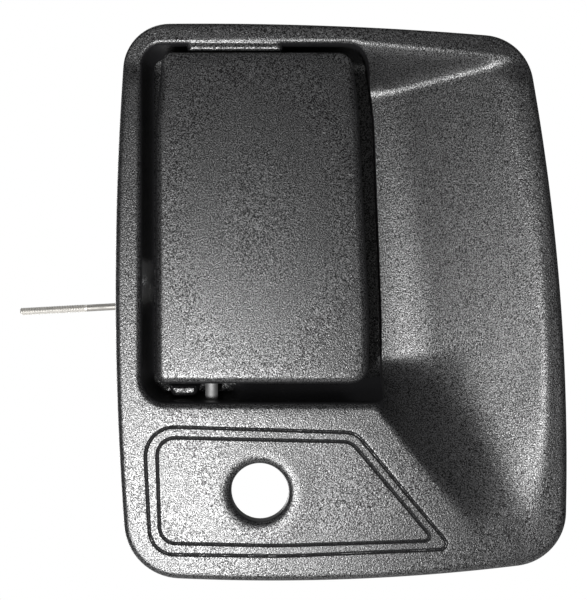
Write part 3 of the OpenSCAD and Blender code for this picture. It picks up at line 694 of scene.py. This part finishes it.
def paddle():
    """The paddle's cover: a shell with a deep rim, and four bosses for the carrier's screws."""
    outline = rounded_outline(PADDLE, 0, 2.0)
    rings = [outline] + [rounded_outline(PADDLE, d, 2.0) for d in
                         (0.03, 0.1, 0.25, 0.45, 0.7, 1.0, 1.35, 1.75, 2.2, 2.7, 3.3)]
    low, high = outline.min(axis=0), outline.max(axis=0)
    scattered = grid_points(low, high, 2.4)
    scattered = scattered[distance_inside(scattered, outline) > 4]
    flat, triangles, lookup = triangulated(rings, scattered, np.full(len(scattered), 1.2))
    triangles = without_triangles(flat, triangles, outline)
    distance = distance_inside(flat, outline)
    edge = ring_numbers(lookup, rings, 0)
    distance[edge] = 0
    points = upright(flat, paddle_front(flat, distance), PADDLE_FRONT_Y)
    points[edge, 1] = PADDLE_BACK_Y

    back_rings = [outline, rounded_outline(PADDLE, PADDLE_WALL - 0.4, 2.0),
                  rounded_outline(PADDLE, PADDLE_WALL + 0.6, 2.0)]
    sparse = scattered[::3]
    clear = np.full(len(sparse), 2.0)
    flat_back, back_triangles, lookup = triangulated(back_rings, sparse, clear)
    back_triangles = without_triangles(flat_back, back_triangles, outline)
    depth = paddle_crown(flat_back) + PADDLE_WALL
    rim = distance_inside(flat_back, outline) < PADDLE_WALL
    depth[rim] = PADDLE_BACK_Y - PADDLE_FRONT_Y
    back_points = upright(flat_back, depth, PADDLE_FRONT_Y)
    n = len(points)
    back_edge = [k + n for k in ring_numbers(lookup, back_rings, 0)]
    faces = [tuple(f) for f in triangles] + [tuple(f + n) for f in back_triangles]
    points = np.concatenate([points, back_points])
    merge = dict(zip(back_edge, edge))
    faces = [tuple(merge.get(int(k), int(k)) for k in f) for f in faces]
    used = sorted({k for f in faces for k in f})
    renumber = {k: i for i, k in enumerate(used)}
    faces = [tuple(renumber[k] for k in f) for f in faces]
    skin = (points[used], faces)
    boss_front = PADDLE_FRONT_Y + PADDLE_WALL - 0.6
    bosses = [turned(CARRIER_BOSS_RADIUS, boss_front, CARRIER_BOSS_BACK, "Y", (x, 0, z), 0.2)
              for x, z in CARRIER_SCREWS]
    return make_object("paddle_moulding", *joined(skin, *bosses), 32)


# ------------------------------------------------------------------ rod, pins and springs

LEVER_PIN = (-18.2, 23.0)
ROD = (-18.2, 36.0)
ROD_RADIUS = 1.34
ROD_THREAD_RADIUS = 1.5
ROD_BEND_RADIUS = 4.5
ROD_BEND_Z = 75.2
ROD_SLOPE = math.radians(3.1)
ROD_THREAD_LENGTH = 26.0
ROD_PITCH = 0.64
THREAD_DEPTH, THREAD_RUN_IN = 0.2, 1.2
PIN_RADIUS = 2.375
PIN_Z = (25.5, 168.9)
PIN_HEAD_RADIUS, PIN_HEAD_HEIGHT = 4.0, 1.5
CLIP_GROOVE_RADIUS, CLIP_GROOVE_Z = 1.8, (1.6, 2.4)
PADDLE_SPRING_Z, PADDLE_SPRING_RADIUS, PADDLE_SPRING_WIRE = (88.0, 99.0), 4.4, 0.8
LEVER_SPRING_Z, LEVER_SPRING_RADIUS, LEVER_SPRING_WIRE = (81.2, 83.7), 4.3, 0.5
CARRIER_PLATE_Y = -5.0
STUD_RADIUS, STUD_LENGTH, STUD_PITCH, STUD_THREAD_DEPTH = 3.0, 20.0, 1.0, 0.55
STUD_HEAD_RADIUS, STUD_HEAD_Y = 4.2, (-5, -0.05)


def thread_profile(along, pitch, depth, sides):
    """How far a thread's surface lies below its crest, at each distance along and each side."""
    turn = np.arange(sides) / sides
    phase = (along[:, None] / pitch + turn[None, :]) % 1
    return depth * np.clip(1.25 - 2.5 * np.abs(phase - 0.5), 0, 1)


def link_rod():
    """A wire with an upright hooked end, a bend, and a rolled thread at the free end."""
    sides = 24
    low, high = box_mm("link_rod")
    x, y = ROD
    turn = math.pi / 2 - ROD_SLOPE
    centre = np.array([x - ROD_BEND_RADIUS, ROD_BEND_Z])
    upright_part = [(x, y, z) for z in np.linspace(high[2], ROD_BEND_Z, 8)]
    bend = [(centre[0] + ROD_BEND_RADIUS * math.cos(a), y,
             centre[1] + ROD_BEND_RADIUS * math.sin(a)) for a in np.linspace(0, -turn, 14)[1:]]
    start = np.array(bend[-1])
    along = np.array([-math.cos(ROD_SLOPE), 0, -math.sin(ROD_SLOPE)])
    length = (start[0] - low[0]) / math.cos(ROD_SLOPE) - ROD_RADIUS * math.tan(ROD_SLOPE)
    plain = length - ROD_THREAD_LENGTH
    steps = np.concatenate([np.linspace(0, plain, 12)[1:],
                            np.arange(plain + ROD_PITCH / 7, length, ROD_PITCH / 7)])
    route = np.array(upright_part + bend + [start + along * t for t in steps])
    travelled = np.concatenate([np.zeros(len(upright_part) + len(bend)), steps])
    cut = thread_profile(travelled - plain, ROD_PITCH, THREAD_DEPTH, sides)
    fade = ease((travelled - plain) / THREAD_RUN_IN)
    radius = ROD_RADIUS + (ROD_THREAD_RADIUS - ROD_RADIUS - cut) * fade[:, None]
    tip = np.clip(1 - (length - travelled) / 0.5, 0, 1) * 0.5
    radius = np.minimum(radius, (ROD_THREAD_RADIUS - tip)[:, None])
    radius[0] -= 0.3
    return make_object("link_rod_wire", *swept(route, radius, sides), 45)


def coil(centre, radius, start, end, from_z, to_z, steps):
    """Points along a coil about an upright axis, angles in degrees."""
    t = np.linspace(0, 1, steps + 1)
    a = np.radians(start + (end - start) * t)
    return [(centre[0] + radius * math.cos(k), centre[1] + radius * math.sin(k), z)
            for k, z in zip(a, from_z + (to_z - from_z) * t)]


def paddle_spring():
    """The paddle's torsion spring: one leg on the pocket's floor, one behind the carrier plate."""
    x, y = HINGE
    (low, high), radius, wire = PADDLE_SPRING_Z, PADDLE_SPRING_RADIUS, PADDLE_SPRING_WIRE
    floor_y, plate_y = FACE_Y + POCKET_DEPTH, CARRIER_PLATE_Y
    route = [(x - 14, floor_y - wire - 0.3, low), (x - 11, floor_y - wire - 0.8, low),
             (x - 3, y + radius + 0.4, low)]
    route += coil(HINGE, radius, 90, -2250, low, high, 200)
    route += [(x - 4, y - radius - 0.2, high), (x - 9, plate_y + wire + 0.1, high),
              (x - 13, plate_y + wire + 0.05, high)]
    return make_object("paddle_spring_wire", *swept(route, wire, 14), 50)


def lever_spring():
    """The lever's torsion spring: one leg on the lever, one on the bracket."""
    x, y = LEVER_PIN
    (low, high), radius, wire = LEVER_SPRING_Z, LEVER_SPRING_RADIUS, LEVER_SPRING_WIRE
    route = [(x - 13, y + 0.5, low - 0.1), (x - 8, y + 3, low), (x - 3, y + radius + 0.2, low)]
    route += coil(LEVER_PIN, radius, 90, -750, low, high, 90)
    route += [(x + 7, y + 2.6, high), (x + 13, y - 0.3, high)]
    return make_object("lever_spring_wire", *swept(route, wire, 12), 50)


def hinge_pin():
    """The paddle's upright pin, with a groove for its clip at the foot and a domed head on top."""
    low, high = PIN_Z
    top, groove = high + PIN_HEAD_HEIGHT, CLIP_GROOVE_RADIUS
    groove_low, groove_high = low + CLIP_GROOVE_Z[0], low + CLIP_GROOVE_Z[1]
    profile = [(CORE, low), (1.7, low), (PIN_RADIUS, low + 0.6), (PIN_RADIUS, groove_low),
               (groove, groove_low + 0.02), (groove, groove_high), (PIN_RADIUS, groove_high + 0.02),
               (PIN_RADIUS, high), (PIN_HEAD_RADIUS - 0.2, high), (PIN_HEAD_RADIUS, high + 0.25),
               (PIN_HEAD_RADIUS - 0.3, top - 0.25), (2.6, top), (CORE, top)]
    return make_object("hinge_pin_ground", *revolved(profile, "Z", (*HINGE, 0), 64), 30)


def mounting_studs():
    """Three studs with rolled threads and plain heads moulded into the bezel."""
    sides = 32
    parts = []
    for x, z in [*RIGHT_STUDS, LEFT_STUD]:
        parts.append(turned(STUD_HEAD_RADIUS, *STUD_HEAD_Y, "Y", (x, 0, z), 0.3))
        threaded = np.arange(1.2, STUD_LENGTH, STUD_PITCH / 8)
        along = np.concatenate([[0.0, 1.0], threaded, [STUD_LENGTH]])
        cut = thread_profile(along, STUD_PITCH, STUD_THREAD_DEPTH, sides)
        cut = cut * ease((along - 1.2) / 1.5)[:, None]
        tip = np.clip(1 - (STUD_LENGTH - along) / 0.9, 0, 1) * 0.8
        radius = np.minimum(STUD_RADIUS - cut, (STUD_RADIUS - tip)[:, None])
        parts.append(swept([(x, t, z) for t in along - 0.1], radius, sides))
    return make_object("threaded_studs", *joined(*parts), 45)


# ------------------------------------------------------------------ materials


class Nodes:
    """Small helper for building a material's nodes around its principled shader."""

    def __init__(self, name, colour, roughness, metallic=0.0, specular=0.5):
        self.material = bpy.data.materials.new(name)
        self.material.use_nodes = True
        self.tree = self.material.node_tree
        self.shader = self.tree.nodes["Principled BSDF"]
        self.shader.inputs["Base Color"].default_value = (*colour, 1)
        self.shader.inputs["Roughness"].default_value = roughness
        self.shader.inputs["Metallic"].default_value = metallic
        self.shader.inputs["Specular IOR Level"].default_value = specular

    def add(self, kind, **inputs):
        """A new node with some of its inputs set. An underscore stands for a space."""
        node = self.tree.nodes.new(kind)
        for key, value in inputs.items():
            node.inputs[key.replace("_", " ")].default_value = value
        return node

    def link(self, source, target):
        """Joins an output to an input."""
        self.tree.links.new(source, target)

    def place(self):
        """Coordinates that stay with the object, in metres."""
        return self.add("ShaderNodeTexCoord").outputs["Object"]

    def noise(self, scale, detail=2.0, roughness=0.5):
        """Even noise, with scale in waves per metre."""
        node = self.add("ShaderNodeTexNoise", Scale=scale, Detail=detail, Roughness=roughness)
        self.link(self.place(), node.inputs["Vector"])
        return node.outputs["Fac"]

    def range(self, source, low, high, to_low, to_high):
        """A value moved from one range to another."""
        node = self.add("ShaderNodeMapRange", From_Min=low, From_Max=high, To_Min=to_low,
                        To_Max=to_high)
        self.link(source, node.inputs["Value"])
        return node.outputs["Result"]

    def bump(self, height, distance):
        """A normal from a height, with distance in metres."""
        node = self.add("ShaderNodeBump", Distance=distance, Strength=1.0)
        self.link(height, node.inputs["Height"])
        return node.outputs["Normal"]

    def finish(self, normal, roughness, colour=None):
        """The material, with its shader's main inputs joined."""
        for source, name in ((normal, "Normal"), (roughness, "Roughness"), (colour, "Base Color")):
            if source is not None:
                self.link(source, self.shader.inputs[name])
        return self.material


# The middle part of the grain's noise, which spans its dullest to its brightest specks
GRAIN_RANGE = (0.37, 0.65)


def grained_plastic():
    """Black moulded plastic with a fine, sparkling spark-eroded grain."""
    n = Nodes("textured_black_plastic", (0.009, 0.009, 0.0095), 0.33)
    grain = n.noise(2500.0, 0.6, 0.6)
    n.link(n.range(grain, *GRAIN_RANGE, 0.15, 1.15), n.shader.inputs["Specular IOR Level"])
    height = n.bump(n.noise(1650.0, 2.0, 0.7), 0.0001)
    rough = n.range(n.noise(600.0, 4.0), 0.3, 0.7, 0.28, 0.37)
    colour = n.add("ShaderNodeMix")
    colour.data_type = "RGBA"
    colour.inputs["A"].default_value = (0.002, 0.002, 0.002, 1)
    colour.inputs["B"].default_value = (0.022, 0.022, 0.023, 1)
    n.link(n.range(grain, *GRAIN_RANGE, 0.0, 1.0), colour.inputs["Factor"])
    return n.finish(height, rough, colour.outputs["Result"])


def smooth_plastic():
    """The same plastic where the mould was only polished, on the steep walls."""
    n = Nodes("smooth_black_plastic", (0.012, 0.012, 0.013), 0.4)
    skin = n.bump(n.noise(900.0, 4.0, 0.6), 0.00002)
    return n.finish(skin, n.range(n.noise(60.0, 5.0), 0.3, 0.7, 0.36, 0.46))


def metal(name, colour, roughness, scale, depth, spread=0.08):
    """A metal with an even fine texture and some variation in roughness."""
    n = Nodes(name, colour, roughness, 1.0)
    skin = n.bump(n.noise(scale, 5.0, 0.65), depth)
    return n.finish(skin, n.range(n.noise(scale / 6, 4.0), 0.3, 0.7, roughness - spread,
                                  roughness + spread))


def drawn_metal(name, colour, roughness, stretch):
    """A metal with fine lines along its length, for wire and ground pins."""
    n = Nodes(name, colour, roughness, 1.0)
    mapping = n.add("ShaderNodeMapping", Scale=stretch)
    n.link(n.place(), mapping.inputs["Vector"])
    lines = n.add("ShaderNodeTexNoise", Scale=1.0, Detail=4.0)
    n.link(mapping.outputs["Vector"], lines.inputs["Vector"])
    skin = n.bump(lines.outputs["Fac"], 0.00001)
    return n.finish(skin, n.range(n.noise(250.0, 4.0), 0.3, 0.7, roughness - 0.06, roughness + 0.1))


def soft_material(name, colour, roughness, scale, depth):
    """Foam or rubber: a cellular skin that scatters nearly all light."""
    n = Nodes(name, colour, roughness, 0.0, 0.3)
    cells = n.add("ShaderNodeTexVoronoi", Scale=scale)
    n.link(n.place(), cells.inputs["Vector"])
    skin = n.bump(cells.outputs["Distance"], depth)
    return n.finish(skin, n.range(n.noise(scale / 5, 4.0), 0.3, 0.7, roughness - 0.08, roughness))


def nylon():
    """Undyed nylon, slightly waxy."""
    n = Nodes("natural_nylon", (0.78, 0.75, 0.66), 0.4)
    n.shader.inputs["Subsurface Weight"].default_value = 0.15
    n.shader.inputs["Subsurface Radius"].default_value = (0.001, 0.0008, 0.0006)
    skin = n.bump(n.noise(700.0, 3.0), 0.00002)
    return n.finish(skin, n.range(n.noise(120.0, 4.0), 0.3, 0.7, 0.34, 0.48))


MATERIALS = {
    "textured_black_plastic": grained_plastic(),
    "black_foam": soft_material("black_foam", (0.02, 0.02, 0.02), 0.95, 1800.0, 0.0001),
    "black_rubber": soft_material("black_rubber", (0.018, 0.018, 0.018), 0.7, 2500.0, 0.00003),
    "zinc_plated_steel": metal("zinc_plated_steel", (0.62, 0.63, 0.63), 0.33, 900.0, 0.00001),
    "pin_steel": drawn_metal("pin_steel", (0.3, 0.3, 0.3), 0.7, (1500.0, 1500.0, 60.0)),
    "spring_steel": drawn_metal("spring_steel", (0.3, 0.3, 0.31), 0.36, (900.0, 900.0, 900.0)),
    "black_nylon": soft_material("black_nylon", (0.02, 0.02, 0.02), 0.45, 900.0, 0.00002),
    "natural_nylon": nylon(),
    "die_cast_zinc": metal("die_cast_zinc", (0.4, 0.41, 0.43), 0.52, 500.0, 0.00004, 0.1),
    "rod_steel": drawn_metal("rod_steel", (0.34, 0.33, 0.31), 0.6, (60.0, 1500.0, 1500.0)),
}


def paint(obj, material):
    """Gives an object one material, in place of those it had."""
    obj.data.materials.clear()
    obj.data.materials.append(material)


def fit_piece(obj, node, slot_name):
    """Stands a finished piece in for a CAD node."""
    paint(obj, MATERIALS[slot_name])
    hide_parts(node)
    return obj


# Faces whose normal's Y part is smaller than this are steep walls
STEEP_NORMAL_Y = 0.6


def smooth_where_steep(obj):
    """Gives an object's steep walls the smooth plastic as a second material."""
    obj.data.materials.append(SMOOTH_PLASTIC)
    for face in obj.data.polygons:
        if abs(face.normal.y) < STEEP_NORMAL_Y:
            face.material_index = 1


def bright_thread(obj):
    """Gives the rolled thread at the rod's free end a brighter finish than the dull wire."""
    obj.data.materials.append(metal("rolled_thread", (0.72, 0.7, 0.66), 0.5, 900.0, 0.00001))
    thread_x = (box_mm("link_rod")[0][0] + ROD_THREAD_LENGTH) * MM
    for face in obj.data.polygons:
        if face.center.x < thread_x:
            face.material_index = 1


SMOOTH_PLASTIC = smooth_plastic()
bezel_piece = fit_piece(bezel(), "bezel", "textured_black_plastic")
smooth_where_steep(bezel_piece)
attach(bezel_piece, "housing")
paddle_piece = fit_piece(paddle(), "paddle_cover", "textured_black_plastic")
smooth_where_steep(paddle_piece)
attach(paddle_piece, "paddle")
rod_piece = fit_piece(link_rod(), "link_rod", "rod_steel")
bright_thread(rod_piece)
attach(rod_piece, "rod")
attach(fit_piece(hinge_pin(), "hinge_pin", "pin_steel"), "housing")
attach(fit_piece(mounting_studs(), "mounting_studs", "zinc_plated_steel"), "housing")
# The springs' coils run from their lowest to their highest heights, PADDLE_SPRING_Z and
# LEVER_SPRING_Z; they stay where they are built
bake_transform(fit_piece(paddle_spring(), "paddle_spring", "spring_steel"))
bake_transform(fit_piece(lever_spring(), "lever_spring", "spring_steel"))

# The small pieces stay as the CAD has them, with their own materials
for part in frame["record"]["subparts"]:
    node = frame["nodes"][part["node"]]
    if not node.hide_render:
        paint(node, MATERIALS[part["material_slot"]])

# ------------------------------------------------------------------ floor, light and camera

VIEW_CENTRE = (12.57, 71.4)
VIEW_HEIGHT = 222.5
VIEW_DISTANCE = 900.0

# Metres from here on: the floor's half size, its height and its glow
FLOOR_HALF_SIZE = 1.5
FLOOR_Z = -0.62
FLOOR_GLOW = 0.35

# Strength of the white studio around the object: as light, and as the camera sees it
STUDIO_LIGHT, STUDIO_SEEN = 0.17, 1.0

# Each lamp's name, place, target, size and power
LAMPS = [
    ("softbox", (-0.08, -0.433, -0.06), (0.0, 0.0, 0.04), (0.05, 0.06), 2.8),
    ("low_fill", (0.0, -0.2, -0.45), (0.0, 0.0, 0.05), (0.8, 0.5), 0.7),
    ("back_softbox", (-0.6, 0.8, -0.1), (0.0, 0.0, 0.07), (0.6, 0.6), 8.0),
    ("ceiling", (-0.3, 0.35, 1.4), (0.0, 0.3, -0.6), (1.2, 0.6), 5.0),
]


def pale_floor():
    """A plain pale floor below the handle, for the other views."""
    mesh = bpy.data.meshes.new("floor")
    size, z = FLOOR_HALF_SIZE, FLOOR_Z
    mesh.from_pydata([(-size, -size, z), (size, -size, z), (size, size, z), (-size, size, z)], [],
                     [(0, 1, 2, 3)])
    floor = bpy.data.objects.new("floor", mesh)
    bpy.context.scene.collection.objects.link(floor)
    pale = Nodes("pale_floor", (0.8, 0.8, 0.8), 0.9)
    pale.shader.inputs["Emission Color"].default_value = (1, 1, 1, 1)
    pale.shader.inputs["Emission Strength"].default_value = FLOOR_GLOW
    paint(floor, pale.material)


def area_light(name, place, target, size, power):
    """A soft rectangular lamp that faces its target and is itself unseen."""
    light = bpy.data.lights.new(name, "AREA")
    light.shape = "RECTANGLE"
    light.size, light.size_y = size
    light.energy = power
    lamp = bpy.data.objects.new(name, light)
    lamp.location = place
    lamp.rotation_mode = "QUATERNION"
    away = lamp.location - type(lamp.location)(target)
    lamp.rotation_quaternion = away.to_track_quat("Z", "Y")
    lamp.visible_camera = False
    bpy.context.scene.collection.objects.link(lamp)


def studio_light():
    """The lamps, and a white studio that looks bright but lights the object only a little."""
    for lamp in LAMPS:
        area_light(*lamp)
    world = bpy.data.worlds.new("studio")
    bpy.context.scene.world = world
    world.use_nodes = True
    tree = world.node_tree
    dim = tree.nodes["Background"]
    dim.inputs["Color"].default_value = (1, 1, 1, 1)
    dim.inputs["Strength"].default_value = STUDIO_LIGHT
    white = tree.nodes.new("ShaderNodeBackground")
    white.inputs["Color"].default_value = (1, 1, 1, 1)
    white.inputs["Strength"].default_value = STUDIO_SEEN
    mix = tree.nodes.new("ShaderNodeMixShader")
    rays = tree.nodes.new("ShaderNodeLightPath")
    tree.links.new(rays.outputs["Is Camera Ray"], mix.inputs["Fac"])
    tree.links.new(dim.outputs["Background"], mix.inputs[1])
    tree.links.new(white.outputs["Background"], mix.inputs[2])
    tree.links.new(mix.outputs["Shader"], tree.nodes["World Output"].inputs["Surface"])


def camera():
    """A long lens looking straight at the face from the front."""
    data = bpy.data.cameras.new("camera")
    data.sensor_width = 36.0
    data.lens = data.sensor_width * VIEW_DISTANCE / VIEW_HEIGHT
    data.clip_start, data.clip_end = 0.05, 10.0
    obj = bpy.data.objects.new("camera", data)
    obj.location = (VIEW_CENTRE[0] * MM, (FACE_Y - VIEW_DISTANCE) * MM, VIEW_CENTRE[1] * MM)
    obj.rotation_euler = (math.pi / 2, 0, 0)
    bpy.context.scene.collection.objects.link(obj)
    bpy.context.scene.camera = obj


pale_floor()
studio_light()
camera()
bpy.context.scene.view_settings.view_transform = "Standard"
